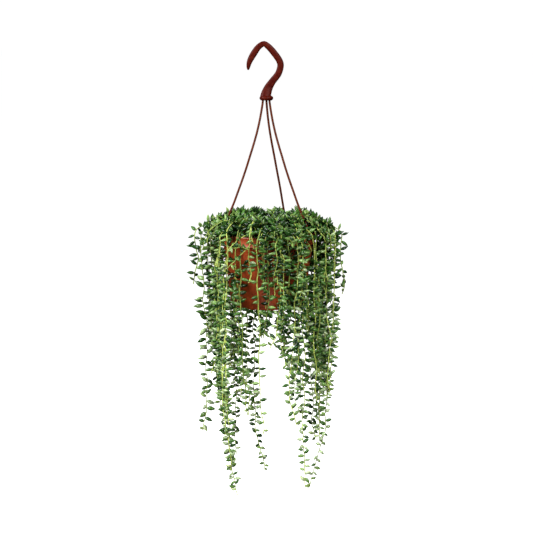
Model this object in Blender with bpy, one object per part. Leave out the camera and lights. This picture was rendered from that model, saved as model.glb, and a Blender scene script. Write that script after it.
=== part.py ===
"""A hanging plant pot with its hanger and a trailing string-of-beads succulent.

Metres, +Z up. The origin is the point on the inside of the hook that rests on whatever
carries it. The hook lies in the XZ plane and -Y is the side seen from the front.
"""

import math

import bmesh
import bpy
import numpy as np
from mathutils import Vector

MM = 0.001
GAP = 0.35  # clearance between two pieces that rest on each other

# Driving dimensions, in millimetres. Heights are below the hanging point.
RIM_Z = -273.0
POT_X = 7.0
POT_HEIGHT = 108.0
RIM_RADIUS = 70.0
COLLAR_HEIGHT = 15.0
COLLAR_LEDGE = 3.5
BASE_RADIUS = 54.5
WALL = 1.6
FOOT_HEIGHT = 2.0
FOOT_RING = (1.0, 4.0)  # outer and inner edge of its flat ring, in from the base's radius
LINER_GAP = 0.2  # how much narrower than the collar's inside the soil is
ROUND_SIDES = 48
DRAIN_COUNT = 6
DRAIN_RADIUS = 4.0
DRAIN_CIRCLE = 36.0
DRAIN_SIDES = 12
SOIL_BELOW_RIM = 10.0

HOOK_THICKNESS = 6.4
HOOK_SIDES = 12
HOOK_SQUARENESS = 0.75
HOOK_RING_PITCH = 6.2
HUB_BLEND = (-58.0, 15.5, 4.6)  # height where the hook starts to thicken, over what length, by how much
HUB_X = 4.6
HUB_TOP_Z = -71.0
HUB_BOTTOM_Z = -78.1
HUB_RADIUS = 10.1
HUB_SIDES = 28
SOCKET_CIRCLE = 5.5
SOCKET_SIDES = 12
SOCKET_NECK = 1.9  # how far below the ball's middle the neck of a socket ends
SOCKET_LATITUDES = (-35, 0, 35, 62)
BALL_RADIUS = 2.4
BALL_Z = -74.1
BALL_LATITUDES = (76, 45, 12, -20, -50)
LEG_RADIUS = 1.55
LEG_SIDES = 8
LEG_RING_PITCH = 17.0
BOW_SHAPE = 1.7  # makes the widest point of a sideways bow as wide as its name says
CLIP_HALF_WIDTH = 2.4  # a leg ends in a flat clip that runs down the collar and under it
CLIP_HALF_DEPTH = 1.1
CLIP_MIDDLE = 6.0  # below the rim
CLIP_BEND = 2.0
CLIP_TOE = 2.2
LEGS = {
    # name: (azimuth of its socket in the hub, azimuth of its clip on the rim, how far it bows sideways)
    "hanger_leg_left": (200.0, 200.0, 0.0),
    "hanger_leg_back": (88.0, 68.0, 3.3),
    "hanger_leg_right": (-32.0, -33.0, 0.0),
}

STEM_RADIUS = 1.2
STEM_SIDES = 3
LEAF_LENGTH = 9.0
LEAF_PITCH = 13.0
LEAF_CLEARANCE = 2.8
LEAVES_PER_STRETCH = 2
LEAF_CHECKS = (0.25, 0.5, 0.75, 1.0)  # shares of a leaf's length where it is tested for room
POT_CLEARANCE = 1.5
GOLDEN_ANGLE = math.radians(137.5)  # the turn from one leaf to the next round a stem
SEED = 7

# The hook's centreline in its plane, from tip to hub, as (x, z, half width).
HOOK_LINE = [
    (-21.9, -33.2, 1.5),
    (-21.7, -29.8, 2.7),
    (-20.4, -23.1, 3.8),
    (-17.6, -16.8, 4.5),
    (-12.8, -8.9, 4.8),
    (-7.1, -1.0, 4.4),
    (0.6, 4.0, 4.0),
    (6.4, 0.8, 4.4),
    (12.1, -4.8, 4.7),
    (17.5, -11.4, 4.8),
    (22.0, -17.6, 4.8),
    (24.8, -23.4, 4.8),
    (25.2, -29.3, 4.8),
    (22.0, -39.4, 4.9),
    (13.8, -50.2, 5.2),
    (8.6, -58.0, 6.1),
    (5.5, -65.1, 7.1),
    (3.9, -70.1, 7.6),
    (3.5, -73.5, 8.1),
]

# A leg's run from socket to clip: (share of the way across, height).
LEG_LINE = [
    (0.0, -80.0),
    (0.022, -89.0),
    (0.075, -106.5),
    (0.142, -124.0),
    (0.224, -141.5),
    (0.313, -158.5),
    (0.405, -176.0),
    (0.505, -193.5),
    (0.61, -210.5),
    (0.715, -227.5),
    (0.875, -250.0),
    (0.95, -261.5),
    (1.0, -273.5),
]

# Trailing stems: azimuth on the rim (degrees, 0 is +X and -90 the front), distance from the
# pot's axis where it hangs, length below the rim, and its sideways drift along X at the shares
# DRIFT_AT of that length.
DRIFT_AT = (0.4, 0.75, 1.0)
STEM_RISE = 4.0  # how far a stem rises straight out of the soil
STEM_LEAN = (5.0, 0.45)  # how far it then leans out, at which share of its arch
RIM_CROSSING = 66.0  # distance from the pot's axis where a stem starts to come down
CROSSING_DROP = 1.0
SHOULDER = (3.0, 0.2, 1.0)  # its shoulder: in from its reach, share of the arch, over the rim
HANG_DEPTH = 18.0  # depth below the rim from where a stem hangs
FRONT_STEMS = [
    (-4, 108, 92, (2, 6, 2)),
    (-9, 98, 234, (0, 0, -3)),
    (-17, 88, 382, (4, 1, -23)),
    (-25, 78, 205, (3, 2, 4)),
    (-40, 88, 242, (0, 2, 3)),
    (-47, 77, 150, (3, 4, 2)),
    (-55, 84, 371, (4, 3, 6)),
    (-62, 92, 274, (-6, -13, -4)),
    (-68, 80, 198, (1, -4, 4)),
    (-78, 88, 158, (-1, -4, -15)),
    (-90, 82, 146, (0, -2, -8)),
    (-101, 89, 285, (4, 7, 10)),
    (-109, 82, 62, (0, 2, -3)),
    (-117, 86, 258, (1, 4, 9)),
    (-126, 77, 228, (-2, 1, 6)),
    (-133, 86, 346, (-4, -1, 3)),
    (-142, 92, 388, (3, 12, 29)),
    (-151, 80, 205, (2, -2, -13)),
    (-167, 86, 178, (2, 4, 7)),
    (-175, 98, 301, (4, 6, -1)),
]
BACK_STEMS = [
    (1, 86, 262, (-4, -2, 3)),
    (10, 96, 190, (0, 3, 2)),
    (19, 84, 326, (0, 0, -2)),
    (28, 92, 225, (2, -2, -6)),
    (37, 84, 333, (0, 0, 5)),
    (46, 94, 180, (0, 2, 6)),
    (55, 82, 268, (-2, 1, 4)),
    (76, 84, 215, (2, 5, 4)),
    (85, 94, 150, (0, -3, -6)),
    (94, 82, 176, (0, -2, -5)),
    (104, 90, 391, (0, 1, 18)),
    (114, 80, 297, (1, 1, 3)),
    (125, 88, 361, (0, 0, 2)),
    (134, 78, 214, (-2, -3, -5)),
    (143, 92, 282, (0, 3, 1)),
    (152, 82, 190, (0, -2, -4)),
    (161, 88, 166, (2, 3, 8)),
    (169, 82, 222, (-2, 0, 4)),
    (175, 108, 80, (2, -2, -6)),
    (180, 90, 168, (0, 2, 5)),
]
# Where the stems root, by turns: (distance from the pot's axis, height of the arch over the rim)
ROOTS = [(24.0, 23.0), (50.0, 12.0), (38.0, 17.5)]
CROWN_SHOOTS = [
    # azimuth, reach from the pot's axis, height above the rim
    (22, 58, 31),
    (88, 52, 33),
    (148, 60, 32),
    (-32, 54, 31),
    (-94, 58, 29),
    (-152, 56, 32),
]
CROWN_ROOT = 10.0

MATERIALS = {
    # name: (colour, roughness), none of it metal
    "terracotta_plastic": ((0.33, 0.075, 0.03), 0.42),
    "hanger_plastic": ((0.17, 0.028, 0.014), 0.38),
    "potting_soil": ((0.035, 0.022, 0.014), 0.95),
    "succulent": ((0.07, 0.16, 0.075), 0.45),
}


def clear_scene():
    for obj in list(bpy.data.objects):
        bpy.data.objects.remove(obj)


def material(name):
    found = bpy.data.materials.get(name)
    if found:
        return found
    colour, roughness = MATERIALS[name]
    found = bpy.data.materials.new(name)
    found.use_nodes = True
    shader = found.node_tree.nodes["Principled BSDF"]
    shader.inputs["Base Color"].default_value = (*colour, 1.0)
    shader.inputs["Roughness"].default_value = roughness
    shader.inputs["Metallic"].default_value = 0.0
    return found


def add_object(name, bm, material_name, helper=False):
    """Closes a bmesh into an object whose place is (0, 0, 0), in metres."""
    bmesh.ops.scale(bm, vec=(MM, MM, MM), verts=bm.verts)
    bmesh.ops.recalc_face_normals(bm, faces=bm.faces)
    mesh = bpy.data.meshes.new(name)
    bm.to_mesh(mesh)
    bm.free()
    mesh.shade_smooth()
    mesh.set_sharp_from_angle(angle=math.radians(35))
    mesh.materials.append(material(material_name))
    obj = bpy.data.objects.new(name, mesh)
    bpy.context.scene.collection.objects.link(obj)
    if helper:
        obj.hide_render = True
        obj.display_type = "WIRE"
    return obj


def boolean(obj, other, operation):
    modifier = obj.modifiers.new(other.name, "BOOLEAN")
    modifier.operation = operation
    modifier.solver = "EXACT"
    modifier.object = other


def turned(profile, centre_x, sides=ROUND_SIDES):
    """Spins a profile of (radius, height) points round a vertical axis."""
    bm = bmesh.new()
    line = [bm.verts.new((centre_x + r, 0.0, z)) for r, z in profile]
    for a, b in zip(line, line[1:]):
        bm.edges.new((a, b))
    bmesh.ops.spin(
        bm,
        geom=bm.verts[:] + bm.edges[:],
        cent=(centre_x, 0, 0),
        axis=(0, 0, 1),
        angle=math.tau,
        steps=sides,
        use_merge=True,
    )
    bmesh.ops.remove_doubles(bm, verts=bm.verts, dist=1e-4)
    return bm


def smooth_line(points, spacing):
    """Points an even distance apart on the smooth curve through the given ones."""
    knots = [np.array(p, float) for p in points]
    knots = [2 * knots[0] - knots[1], *knots, 2 * knots[-1] - knots[-2]]
    steps = 24
    fine = [knots[1]]
    for p0, p1, p2, p3 in zip(knots, knots[1:], knots[2:], knots[3:]):
        for t in np.arange(1, steps + 1) / steps:
            fine.append(
                0.5
                * (
                    2 * p1
                    + (p2 - p0) * t
                    + (2 * p0 - 5 * p1 + 4 * p2 - p3) * t**2
                    + (3 * p1 - p0 - 3 * p2 + p3) * t**3
                )
            )
    fine = np.array(fine)
    along = np.concatenate([[0], np.cumsum(np.linalg.norm(np.diff(fine[:, :3], axis=0), axis=1))])
    count = max(2, round(along[-1] / spacing) + 1)
    at = np.linspace(0, along[-1], count)
    return np.stack([np.interp(at, along, fine[:, k]) for k in range(fine.shape[1])], axis=1)


def frames_along(points, first_side):
    """(direction, side, up) at each point, turned as little as possible along the line."""
    found = []
    side = Vector(first_side)
    for i in range(len(points)):
        ahead = points[min(i + 1, len(points) - 1)] - points[max(i - 1, 0)]
        direction = Vector(ahead).normalized()
        side = (side - direction * side.dot(direction)).normalized()
        found.append((direction, side, direction.cross(side)))
    return found


def sweep(points, sections, first_side):
    """Skins a closed tube over one (half width, half depth) section per point.

    The tube is returned with the side faces of each stretch, for what grows out of them.
    """
    bm = bmesh.new()
    rings = []
    for point, section, (_, side, up) in zip(points, sections, frames_along(points, first_side)):
        ring = [Vector(point) + side * x + up * y for x, y in section]
        rings.append([bm.verts.new(co) for co in ring])
    stretches = []
    for near, far in zip(rings, rings[1:]):
        sides = range(len(near))
        stretches.append(
            [bm.faces.new((near[k - 1], near[k], far[k], far[k - 1])) for k in sides]
        )
    bm.faces.new(rings[0])
    bm.faces.new(list(reversed(rings[-1])))
    bm.normal_update()
    return bm, stretches


def oval(half_width, half_depth, sides, squareness=1.0):
    """A ring of points; squareness under 1 fills the corners out."""
    ring = []
    for k in range(sides):
        angle = math.tau * (k + 0.5) / sides
        c, s = math.cos(angle), math.sin(angle)
        ring.append(
            (
                half_width * math.copysign(abs(c) ** squareness, c),
                half_depth * math.copysign(abs(s) ** squareness, s),
            )
        )
    return ring


def pot_wall_radius(z):
    """The pot's outer radius at a height, below the collar."""
    low, high = RIM_Z - POT_HEIGHT, RIM_Z - COLLAR_HEIGHT
    share = (z - low) / (high - low)
    return BASE_RADIUS + share * (RIM_RADIUS - COLLAR_LEDGE - BASE_RADIUS)


def make_pot():
    base_z = RIM_Z - POT_HEIGHT
    collar_z = RIM_Z - COLLAR_HEIGHT
    floor_z = base_z + FOOT_HEIGHT
    wall_top = RIM_RADIUS - COLLAR_LEDGE
    profile = [
        (0, floor_z),
        (BASE_RADIUS - FOOT_RING[1] - 0.5, floor_z),
        (BASE_RADIUS - FOOT_RING[1], base_z),
        (BASE_RADIUS - FOOT_RING[0], base_z),
        (BASE_RADIUS, base_z + 1.0),
        (wall_top, collar_z),
        (RIM_RADIUS - 0.5, collar_z),
        (RIM_RADIUS, collar_z + 0.8),
        (RIM_RADIUS, RIM_Z - 0.9),
        (RIM_RADIUS - 0.5, RIM_Z),
        (RIM_RADIUS - WALL, RIM_Z),
        (RIM_RADIUS - WALL - 0.1, collar_z + WALL),
        (wall_top - WALL, collar_z - 0.6),
        (BASE_RADIUS - WALL, floor_z + WALL + 1.5),
        (BASE_RADIUS - WALL - 1.5, floor_z + WALL),
        (0, floor_z + WALL),
    ]
    pot = add_object("pot", turned(profile, POT_X), "terracotta_plastic")
    drains = bmesh.new()
    for k in range(DRAIN_COUNT):
        angle = math.tau * (k + 0.5) / DRAIN_COUNT
        made = bmesh.ops.create_cone(
            drains,
            cap_ends=True,
            segments=DRAIN_SIDES,
            radius1=DRAIN_RADIUS,
            radius2=DRAIN_RADIUS,
            depth=4 * WALL,
        )
        centre = (
            POT_X + DRAIN_CIRCLE * math.cos(angle),
            DRAIN_CIRCLE * math.sin(angle),
            floor_z + WALL / 2,
        )
        bmesh.ops.translate(drains, vec=centre, verts=made["verts"])
    boolean(pot, add_object("drain_cutter", drains, "terracotta_plastic", True), "DIFFERENCE")


def make_soil():
    collar_z = RIM_Z - COLLAR_HEIGHT
    wall_top = RIM_RADIUS - COLLAR_LEDGE
    floor_z = RIM_Z - POT_HEIGHT + FOOT_HEIGHT + WALL + GAP
    top_z = RIM_Z - SOIL_BELOW_RIM
    profile = [
        (0, floor_z),
        (BASE_RADIUS - WALL - 1.8, floor_z),
        (BASE_RADIUS - WALL - GAP, floor_z + 1.8),
        (wall_top - WALL - GAP, collar_z - 0.8),
        (RIM_RADIUS - WALL - LINER_GAP - GAP, collar_z + WALL + 0.3),
        (RIM_RADIUS - WALL - LINER_GAP - GAP, top_z - 1.0),
        (RIM_RADIUS - WALL - 2.5, top_z),
        (0, top_z),
    ]
    add_object("soil", turned(profile, POT_X), "potting_soil")


def make_hook():
    line = smooth_line([(x, 0.0, z, half) for x, z, half in HOOK_LINE], HOOK_RING_PITCH)
    blend_from, blend_length, blend_extra = HUB_BLEND
    centres = line[:, :3]
    sections = []
    for half, z in zip(line[:, 3], centres[:, 2]):
        towards_hub = max(0.0, min(1.0, (blend_from - z) / blend_length))
        depth = min(half, HOOK_THICKNESS / 2 + blend_extra * towards_hub)
        sections.append(oval(half, depth, HOOK_SIDES, HOOK_SQUARENESS))
    bm, _ = sweep(centres, sections, (1, 0, 1))
    hook = add_object("hook", bm, "hanger_plastic")
    hub_profile = [
        (0, HUB_BOTTOM_Z),
        (HUB_RADIUS - 2.3, HUB_BOTTOM_Z),
        (HUB_RADIUS - 0.7, HUB_BOTTOM_Z + 1.4),
        (HUB_RADIUS, HUB_BOTTOM_Z + 3.2),
        (HUB_RADIUS - 0.4, HUB_BOTTOM_Z + 4.8),
        (HUB_RADIUS - 1.7, HUB_BOTTOM_Z + 6.2),
        (HUB_RADIUS - 3.6, HUB_TOP_Z),
        (0, HUB_TOP_Z),
    ]
    hub = add_object("hub_disc", turned(hub_profile, HUB_X, HUB_SIDES), "hanger_plastic", True)
    boolean(hook, hub, "UNION")
    for name, (azimuth, _, _) in LEGS.items():
        cavity = [
            (0, HUB_BOTTOM_Z - 2),
            (LEG_RADIUS + GAP, HUB_BOTTOM_Z - 2),
            (LEG_RADIUS + GAP, BALL_Z - SOCKET_NECK),
        ]
        cavity_radius = BALL_RADIUS + GAP
        for degrees in SOCKET_LATITUDES:
            angle = math.radians(degrees)
            cavity.append(
                (cavity_radius * math.cos(angle), BALL_Z + cavity_radius * math.sin(angle))
            )
        cavity.append((0, BALL_Z + cavity_radius))
        x, y = socket_place(azimuth)
        cutter = turned(cavity, 0.0, SOCKET_SIDES)
        bmesh.ops.translate(cutter, vec=(x, y, 0), verts=cutter.verts)
        socket = add_object("socket_of_" + name, cutter, "hanger_plastic", True)
        boolean(hook, socket, "DIFFERENCE")


def socket_place(azimuth):
    angle = math.radians(azimuth)
    return HUB_X + SOCKET_CIRCLE * math.cos(angle), SOCKET_CIRCLE * math.sin(angle)


def leg_line(socket_azimuth, clip_azimuth, bow):
    """A leg's centreline with its half width and half depth: ball, long run, flat clip."""
    sx, sy = socket_place(socket_azimuth)
    angle = math.radians(clip_azimuth)
    outward = np.array([math.cos(angle), math.sin(angle), 0.0])
    axis = np.array([POT_X, 0.0, 0.0])
    clip_reach = RIM_RADIUS + GAP + CLIP_HALF_DEPTH
    clip = axis + outward * clip_reach
    ball = []
    for degrees in BALL_LATITUDES:
        turn = math.radians(degrees)
        radius = BALL_RADIUS * math.cos(turn)
        if ball:
            radius = max(LEG_RADIUS, radius)
        ball.append((sx, sy, BALL_Z + BALL_RADIUS * math.sin(turn), radius, radius))
    run = []
    top_z, low_z = LEG_LINE[0][1], LEG_LINE[-1][1]
    way = np.array([clip[0] - sx, clip[1] - sy])
    aside = np.array([way[1], -way[0]]) / np.hypot(*way)
    for share, z in LEG_LINE:
        down = (z - top_z) / (low_z - top_z)
        bowed = bow * BOW_SHAPE * down * math.sin(math.pi * down)
        x, y = np.array([sx, sy]) + way * share + aside * bowed
        run.append((x, y, z, LEG_RADIUS, LEG_RADIUS))
    run[-1] = (*run[-1][:3], CLIP_HALF_WIDTH, CLIP_HALF_DEPTH)
    toe_z = RIM_Z - COLLAR_HEIGHT - GAP - CLIP_HALF_DEPTH
    centre = axis + outward * (clip_reach - CLIP_BEND)
    flat = [(*clip[:2], RIM_Z - CLIP_MIDDLE, CLIP_HALF_WIDTH, CLIP_HALF_DEPTH)]
    for degrees in (0, 30, 60, 90):
        turn = math.radians(degrees)
        place = centre + outward * CLIP_BEND * math.cos(turn)
        z = toe_z + CLIP_BEND * (1 - math.sin(turn))
        flat.append((place[0], place[1], z, CLIP_HALF_WIDTH, CLIP_HALF_DEPTH))
    toe = centre - outward * CLIP_TOE
    flat.append((toe[0], toe[1], toe_z, 0.8 * CLIP_HALF_WIDTH, 0.8 * CLIP_HALF_DEPTH))
    return np.array(ball), np.array(run), np.array(flat)


def make_legs():
    """Returns points along every leg, for the leaves to keep clear of."""
    passed = []
    for name, (socket_azimuth, clip_azimuth, bow) in LEGS.items():
        ball, run, flat = leg_line(socket_azimuth, clip_azimuth, bow)
        line = np.vstack([ball, smooth_line(run, LEG_RING_PITCH), flat])
        sections = [oval(half_width, half_depth, LEG_SIDES) for half_width, half_depth in line[:, 3:]]
        angle = math.radians(clip_azimuth)
        across = (-math.sin(angle), math.cos(angle), 0.0)
        bm, _ = sweep(line[:, :3], sections, across)
        add_object(name, bm, "hanger_plastic")
        passed.append(smooth_line(line[len(ball):, :3], 2.0))
    return passed


def trailing_route(azimuth, reach, drop, drift, root):
    """A stem's line from the soil, up through the crown, over the rim and down."""
    angle = math.radians(azimuth)
    outward = np.array([math.cos(angle), math.sin(angle), 0.0])
    axis = np.array([POT_X, 0.0, RIM_Z])
    root_radius, arch = root

    def place(radius, height):
        return axis + outward * radius + np.array([0.0, 0.0, height])

    start = -SOIL_BELOW_RIM + GAP
    lean, lean_height = STEM_LEAN
    inset, shoulder_share, shoulder_rise = SHOULDER
    points = [
        place(root_radius, start),
        place(root_radius, start + STEM_RISE),
        place(root_radius + lean, lean_height * arch),
        place(0.5 * (root_radius + RIM_CROSSING) - CROSSING_DROP, arch),
        place(RIM_CROSSING, arch - CROSSING_DROP),
        place(reach - inset, shoulder_share * arch + shoulder_rise),
        place(reach, -HANG_DEPTH),
    ]
    for share, shift in zip(DRIFT_AT, drift):
        height = -HANG_DEPTH - (drop - HANG_DEPTH) * share
        points.append(place(reach, height) + np.array([float(shift), 0.0, 0.0]))
    return smooth_line(points, LEAF_PITCH)


def crown_route(azimuth, reach, height):
    """A short shoot that stands over the others in the middle of the pot."""
    angle = math.radians(azimuth)
    outward = np.array([math.cos(angle), math.sin(angle), 0.0])
    axis = np.array([POT_X, 0.0, RIM_Z])
    start = -SOIL_BELOW_RIM + GAP
    shape = [
        (CROWN_ROOT, start),
        (CROWN_ROOT, start + STEM_RISE),
        (CROWN_ROOT + 3.0, 0.6 * height),
        (0.5 * (CROWN_ROOT + reach), height),
        (reach, height - 2.0),
    ]
    points = [axis + outward * r + np.array([0.0, 0.0, z]) for r, z in shape]
    return smooth_line(points, LEAF_PITCH)


class Crowd:
    """Points already taken, each with its owner, so that leaves grow into free space only."""

    def __init__(self, routes, legs):
        self.points = []
        self.owners = []
        for owner, route in enumerate(routes):
            self.add(smooth_line(route, 2.5), owner)
        for leg in legs:
            self.add(leg, -1)

    def add(self, points, owner):
        self.points.append(points)
        self.owners.append(np.full(len(points), owner))
        self.all_points = np.vstack(self.points)
        self.all_owners = np.concatenate(self.owners)

    def is_free(self, points, owner):
        others = self.all_points[self.all_owners != owner]
        low = points.min(axis=0) - LEAF_CLEARANCE
        high = points.max(axis=0) + LEAF_CLEARANCE
        near = others[((others > low) & (others < high)).all(axis=1)]
        if len(near):
            away = np.linalg.norm(near[:, None] - points[None], axis=2)
            if away.min() < LEAF_CLEARANCE:
                return False
        return all(self.is_off_the_pot(p) for p in points)

    @staticmethod
    def is_off_the_pot(point):
        from_axis = math.hypot(point[0] - POT_X, point[1])
        if point[2] > RIM_Z + POT_CLEARANCE:
            return True
        if point[2] > RIM_Z - COLLAR_HEIGHT - POT_CLEARANCE:
            return from_axis > RIM_RADIUS + POT_CLEARANCE
        return from_axis > pot_wall_radius(point[2]) + POT_CLEARANCE


def leaf_points(face, tip):
    """Points over a leaf's outline: its middle line and its two edges."""
    centre = face.calc_center_median()
    along = 0.5 * (face.verts[3].co - face.verts[0].co)
    found = []
    for share in LEAF_CHECKS:
        middle = centre.lerp(tip, share)
        for edge in (-1, 0, 1):
            found.append(middle + along * edge * (1 - share))
    return np.array(found)


def make_shoot(name, owner, route, crowd, random):
    """One shoot grown as one piece: a three-sided stem whose faces are drawn out to leaves."""
    sections = [oval(STEM_RADIUS, STEM_RADIUS, STEM_SIDES) for _ in route]
    sections[-1] = oval(0.5 * STEM_RADIUS, 0.5 * STEM_RADIUS, STEM_SIDES)
    bm, stretches = sweep(route, sections, (1, 0, 0))
    turn = random.uniform(0, math.tau)
    for faces in stretches[1:]:
        turn += GOLDEN_ANGLE
        order = sorted(
            faces, key=lambda face: -math.cos(turn - math.atan2(face.normal.y, face.normal.x))
        )
        grown = 0
        for face in order:
            length = LEAF_LENGTH * random.uniform(0.85, 1.1)
            tip = face.calc_center_median() + face.normal * length
            outline = leaf_points(face, tip)
            if grown < LEAVES_PER_STRETCH and crowd.is_free(outline, owner):
                leaf = bmesh.ops.poke(bm, faces=[face])
                leaf["verts"][0].co = tip
                crowd.add(outline, owner)
                grown += 1
    add_object(name, bm, "succulent")


def make_plant(legs):
    routes = {}
    for k, stem in enumerate(FRONT_STEMS + BACK_STEMS):
        routes[f"trailing_stem_{k + 1:02d}"] = trailing_route(*stem, ROOTS[k % len(ROOTS)])
    for k, shoot in enumerate(CROWN_SHOOTS):
        routes[f"crown_shoot_{k + 1}"] = crown_route(*shoot)
    crowd = Crowd(routes.values(), legs)
    random = np.random.default_rng(SEED)
    for owner, (name, route) in enumerate(routes.items()):
        make_shoot(name, owner, route, crowd, random)


def main():
    clear_scene()
    make_pot()
    make_soil()
    make_hook()
    make_plant(make_legs())


main()
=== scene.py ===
import math
import random

import bmesh
import bpy
from mathutils import Matrix, Vector, noise


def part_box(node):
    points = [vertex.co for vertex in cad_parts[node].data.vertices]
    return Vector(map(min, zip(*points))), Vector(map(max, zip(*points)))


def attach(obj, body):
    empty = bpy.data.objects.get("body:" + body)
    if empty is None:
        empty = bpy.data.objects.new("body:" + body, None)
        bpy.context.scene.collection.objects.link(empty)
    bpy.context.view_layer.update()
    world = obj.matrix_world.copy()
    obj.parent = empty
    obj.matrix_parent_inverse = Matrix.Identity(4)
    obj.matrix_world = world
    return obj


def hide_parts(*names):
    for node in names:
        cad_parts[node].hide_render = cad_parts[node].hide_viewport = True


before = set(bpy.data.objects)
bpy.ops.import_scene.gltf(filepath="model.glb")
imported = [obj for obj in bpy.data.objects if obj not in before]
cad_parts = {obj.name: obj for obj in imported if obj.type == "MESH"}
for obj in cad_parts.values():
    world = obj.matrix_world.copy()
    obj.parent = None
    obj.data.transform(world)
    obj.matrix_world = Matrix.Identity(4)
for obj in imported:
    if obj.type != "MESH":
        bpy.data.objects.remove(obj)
noise.seed_set(1)  # noise vectors start from the time of day otherwise
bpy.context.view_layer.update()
mm = 0.001
up = Vector((0, 0, 1))

potLow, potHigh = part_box("pot")
potAxis = Vector(((potLow.x + potHigh.x) / 2, (potLow.y + potHigh.y) / 2, 0)) / mm
rimZ = potHigh.z / mm
baseZ = potLow.z / mm
rimRadius = (potHigh.x - potLow.x) / 2 / mm
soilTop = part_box("soil")[1].z / mm
print("frame loaded:", len(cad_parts), "nodes, pot rim at", round(rimZ, 1), "mm")


# Small tools that every piece uses

def hexColour(text):  # sRGB hex to the linear values that shaders take
    parts = [int(text[k:k + 2], 16) / 255 for k in (0, 2, 4)]
    return tuple(p / 12.92 if p <= 0.04045 else ((p + 0.055) / 1.055) ** 2.4 for p in parts) + (1.0,)


def newMaterial(name):
    made = bpy.data.materials.new(name)
    made.use_nodes = True
    return made, made.node_tree, made.node_tree.nodes["Principled BSDF"]


def addNode(tree, kind, settings=None, links=None):  # one node, its settings and what feeds its sockets
    node = tree.nodes.new(kind)
    for key, value in (settings or {}).items():
        if isinstance(key, int) or key in node.inputs:
            node.inputs[key].default_value = value
        else:
            setattr(node, key, value)
    for key, source in (links or {}).items():
        tree.links.new(source, node.inputs[key])
    return node


def paintRamp(node, stops):
    ramp = node.color_ramp
    while len(ramp.elements) > 1:
        ramp.elements.remove(ramp.elements[-1])
    ramp.elements[0].position = stops[0][0]
    ramp.elements[0].color = hexColour(stops[0][1])
    for place, colour in stops[1:]:
        ramp.elements.new(place).color = hexColour(colour)
    return node


def finishPiece(name, bm, materials, nodes, angle=0):  # edges over that angle stay sharp
    bmesh.ops.scale(bm, vec=(mm, mm, mm), verts=bm.verts)
    mesh = bpy.data.meshes.new(name)
    bm.to_mesh(mesh)
    bm.free()
    mesh.shade_smooth()
    if angle:
        mesh.set_sharp_from_angle(angle=math.radians(angle))
    for item in materials:
        mesh.materials.append(item)
    piece = bpy.data.objects.new(name, mesh)
    bpy.context.scene.collection.objects.link(piece)
    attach(piece, "root")
    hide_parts(*nodes)


def smoothLine(points, spacing):  # even steps on the smooth curve through the points
    knots = [2 * points[0] - points[1]] + list(points) + [2 * points[-1] - points[-2]]
    fine = [knots[1].copy()]
    for p0, p1, p2, p3 in zip(knots, knots[1:], knots[2:], knots[3:]):
        for k in range(1, 17):
            t = k / 16
            bend = 2 * p0 - 5 * p1 + 4 * p2 - p3
            fine.append(0.5 * (2 * p1 + (p2 - p0) * t + bend * t * t + (3 * p1 - p0 - 3 * p2 + p3) * t ** 3))
    along = [0.0]
    for a, b in zip(fine, fine[1:]):
        along.append(along[-1] + (b - a).length)
    count = max(2, round(along[-1] / spacing) + 1)
    even, k = [], 0
    for i in range(count):
        want = along[-1] * i / (count - 1)
        while k < len(along) - 2 and along[k + 1] < want:
            k += 1
        share = (want - along[k]) / max(along[k + 1] - along[k], 1e-9)
        even.append(fine[k].lerp(fine[k + 1], min(1, share)))
    return even


def turnedBody(profile, centre, steps):  # a profile of (radius, height) spun round a vertical axis
    bm = bmesh.new()
    line = [bm.verts.new((centre.x + r, centre.y, z)) for r, z in profile]
    edges = [bm.edges.new(pair) for pair in zip(line, line[1:])]
    bmesh.ops.spin(bm, geom=line + edges, cent=(centre.x, centre.y, 0), axis=(0, 0, 1),
                   angle=math.tau, steps=steps, use_merge=True)
    bmesh.ops.remove_doubles(bm, verts=bm.verts, dist=1e-3)
    bmesh.ops.recalc_face_normals(bm, faces=bm.faces)
    return bm


def sweptBody(points, sizes, side, segments, squareness):
    # rings of (half width, half depth) along a line, bridged one to the next and capped
    bm = bmesh.new()
    lastRing = None
    for i, (point, (width, depth)) in enumerate(zip(points, sizes)):
        ahead = points[min(i + 1, len(points) - 1)] - points[max(i - 1, 0)]
        ahead.normalize()
        side = (side - ahead * side.dot(ahead)).normalized()
        place = Matrix((side, ahead.cross(side), ahead)).transposed().to_4x4()
        place.translation = point
        ring = bmesh.ops.create_circle(bm, segments=segments, radius=1.0)["verts"]
        for vert in ring:
            c, s = vert.co.x, vert.co.y
            vert.co.x = width * math.copysign(abs(c) ** squareness, c)
            vert.co.y = depth * math.copysign(abs(s) ** squareness, s)
        bmesh.ops.transform(bm, matrix=place, verts=ring)
        edges = list({edge for vert in ring for edge in vert.link_edges})
        if lastRing is None:
            bmesh.ops.contextual_create(bm, geom=ring)
        else:
            bmesh.ops.bridge_loops(bm, edges=lastRing + edges)
        lastRing = edges
    bmesh.ops.contextual_create(bm, geom=ring)
    bmesh.ops.recalc_face_normals(bm, faces=bm.faces)
    return bm


def withBooleans(bm, others):  # joins or cuts other closed bodies, (bmesh, operation)
    holder = bpy.data.objects.new("holder", bpy.data.meshes.new("holder"))
    bm.to_mesh(holder.data)
    bpy.context.scene.collection.objects.link(holder)
    helpers = [holder]
    for other, operation in others:
        helper = bpy.data.objects.new("helper", bpy.data.meshes.new("helper"))
        other.to_mesh(helper.data)
        other.free()
        bpy.context.scene.collection.objects.link(helper)
        change = holder.modifiers.new("change", "BOOLEAN")
        change.operation = operation
        change.solver = "EXACT"
        change.object = helper
        helpers.append(helper)
    depsgraph = bpy.context.evaluated_depsgraph_get()
    result = bpy.data.meshes.new_from_object(holder.evaluated_get(depsgraph))
    bm.clear()
    bm.from_mesh(result)
    for helper in helpers:
        bpy.data.objects.remove(helper)


# Materials

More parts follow.
